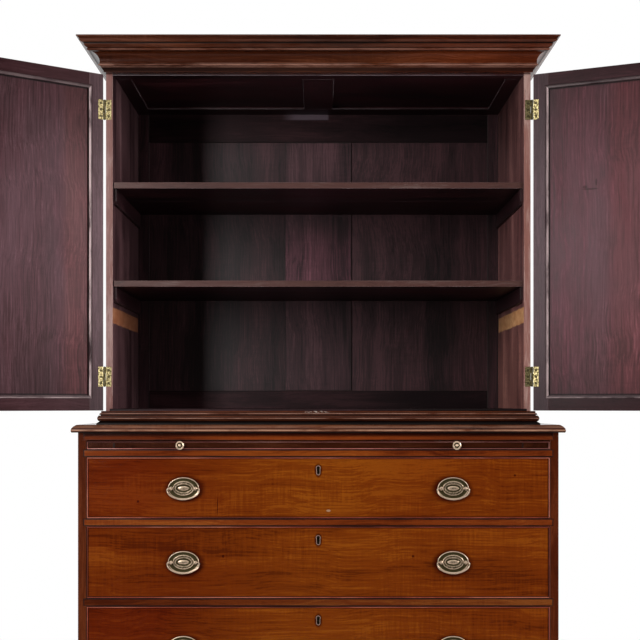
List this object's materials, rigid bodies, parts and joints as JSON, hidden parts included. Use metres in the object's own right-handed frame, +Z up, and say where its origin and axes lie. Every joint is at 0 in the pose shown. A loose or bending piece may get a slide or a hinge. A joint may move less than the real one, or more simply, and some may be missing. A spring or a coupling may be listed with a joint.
{
  "type": "linen press",
  "caption": "Georgian-style mahogany linen press: a shelved cupboard with a pair of panelled doors on a chest of long drawers with a brushing slide, brass bail handles and bracket feet.",
  "frame": {"origin": "on the floor, on the centre line, half way between the chest's front and back", "axes": "+X to the right seen from the front, +Y from front to back, +Z up"},
  "size_m": [2.1146, 0.8492, 1.841],
  "materials": {
    "mahogany_fronts": "waxed, semi-gloss",
    "mahogany_case": "waxed, semi-gloss",
    "mahogany_doors": "waxed, satin",
    "mahogany_interior": "old dark polish, satin",
    "oak_secondary": "bare, matt",
    "brass": "aged, lightly tarnished"
  },
  "bodies": {
    "case": {"cupboard_sides": "mahogany_case", "cupboard_floor": "mahogany_interior", "ceiling_frame": "mahogany_interior", "ceiling_panels": "mahogany_interior", "back_frame": "mahogany_interior", "back_panels": "mahogany_interior", "shelf_lower": "mahogany_interior", "shelf_upper": "mahogany_interior", "shelf_bearers": "mahogany_interior", "cornice_moulding": "mahogany_case", "cornice_frame": "oak_secondary", "waist_moulding": "mahogany_case", "hinge_case_leaves": "brass", "hinge_pins": "brass", "chest_sides": "mahogany_case", "chest_top": "mahogany_case", "chest_top_moulding": "mahogany_case", "front_rails": "mahogany_case", "chest_bottom": "oak_secondary", "dust_boards": "oak_secondary", "drawer_runners": "oak_secondary", "drawer_stops": "oak_secondary", "chest_back": "oak_secondary", "base_moulding": "mahogany_case", "bracket_feet": "mahogany_case", "foot_blocks": "oak_secondary"},
    "door_left": {"door_left_frame": "mahogany_doors", "door_left_panel": "mahogany_doors", "door_left_beads": "mahogany_doors", "door_left_hinge_leaves": "brass"},
    "door_right": {"door_right_frame": "mahogany_doors", "door_right_panel": "mahogany_doors", "door_right_beads": "mahogany_doors", "door_right_hinge_leaves": "brass", "door_right_astragal": "mahogany_doors", "door_right_lock": "brass"},
    "slide": {"slide_board": "mahogany_case", "slide_beads": "mahogany_case", "slide_knobs": "brass"},
    "drawer_top": {"drawer_top_front": "mahogany_fronts", "drawer_top_carcass": "oak_secondary", "drawer_top_boards": "oak_secondary", "drawer_top_cock_beads": "mahogany_case", "drawer_top_brasses": "brass"},
    "bail_top_left": {"bail_top_left": "brass"},
    "bail_top_right": {"bail_top_right": "brass"},
    "drawer_middle": {"drawer_middle_front": "mahogany_fronts", "drawer_middle_carcass": "oak_secondary", "drawer_middle_boards": "oak_secondary", "drawer_middle_cock_beads": "mahogany_case", "drawer_middle_brasses": "brass"},
    "bail_middle_left": {"bail_middle_left": "brass"},
    "bail_middle_right": {"bail_middle_right": "brass"},
    "drawer_bottom": {"drawer_bottom_front": "mahogany_fronts", "drawer_bottom_carcass": "oak_secondary", "drawer_bottom_boards": "oak_secondary", "drawer_bottom_cock_beads": "mahogany_case", "drawer_bottom_brasses": "brass"},
    "bail_bottom_left": {"bail_bottom_left": "brass"},
    "bail_bottom_right": {"bail_bottom_right": "brass"}
  },
  "joints": [
    {"name": "door_left_hinge", "type": "hinge", "parent": "case", "child": "door_left", "pos_m": [-0.5645, -0.22525, 1.3125], "axis": [0, 0, -1], "range_deg": [-143, 32]},
    {"name": "door_right_hinge", "type": "hinge", "parent": "case", "child": "door_right", "pos_m": [0.5645, -0.22525, 1.3125], "axis": [0, 0, 1], "range_deg": [-154, 21]},
    {"name": "slide_runs_out", "type": "slide", "parent": "case", "child": "slide", "axis": [0, -1, 0], "range_m": [0, 0.38]},
    {"name": "drawer_top_runs_out", "type": "slide", "parent": "case", "child": "drawer_top", "axis": [0, -1, 0], "range_m": [0, 0.42]},
    {"name": "bail_top_left_swings", "type": "hinge", "parent": "drawer_top", "child": "bail_top_left", "pos_m": [-0.35, -0.2945, 0.669], "axis": [-1, 0, 0], "range_deg": [0, 95]},
    {"name": "bail_top_right_swings", "type": "hinge", "parent": "drawer_top", "child": "bail_top_right", "pos_m": [0.35, -0.2945, 0.669], "axis": [-1, 0, 0], "range_deg": [0, 95]},
    {"name": "drawer_middle_runs_out", "type": "slide", "parent": "case", "child": "drawer_middle", "axis": [0, -1, 0], "range_m": [0, 0.42]},
    {"name": "bail_middle_left_swings", "type": "hinge", "parent": "drawer_middle", "child": "bail_middle_left", "pos_m": [-0.35, -0.2945, 0.4775], "axis": [-1, 0, 0], "range_deg": [0, 95]},
    {"name": "bail_middle_right_swings", "type": "hinge", "parent": "drawer_middle", "child": "bail_middle_right", "pos_m": [0.35, -0.2945, 0.4775], "axis": [-1, 0, 0], "range_deg": [0, 95]},
    {"name": "drawer_bottom_runs_out", "type": "slide", "parent": "case", "child": "drawer_bottom", "axis": [0, -1, 0], "range_m": [0, 0.42]},
    {"name": "bail_bottom_left_swings", "type": "hinge", "parent": "drawer_bottom", "child": "bail_bottom_left", "pos_m": [-0.35, -0.2945, 0.257], "axis": [-1, 0, 0], "range_deg": [0, 95]},
    {"name": "bail_bottom_right_swings", "type": "hinge", "parent": "drawer_bottom", "child": "bail_bottom_right", "pos_m": [0.35, -0.2945, 0.257], "axis": [-1, 0, 0], "range_deg": [0, 95]}
  ]
}
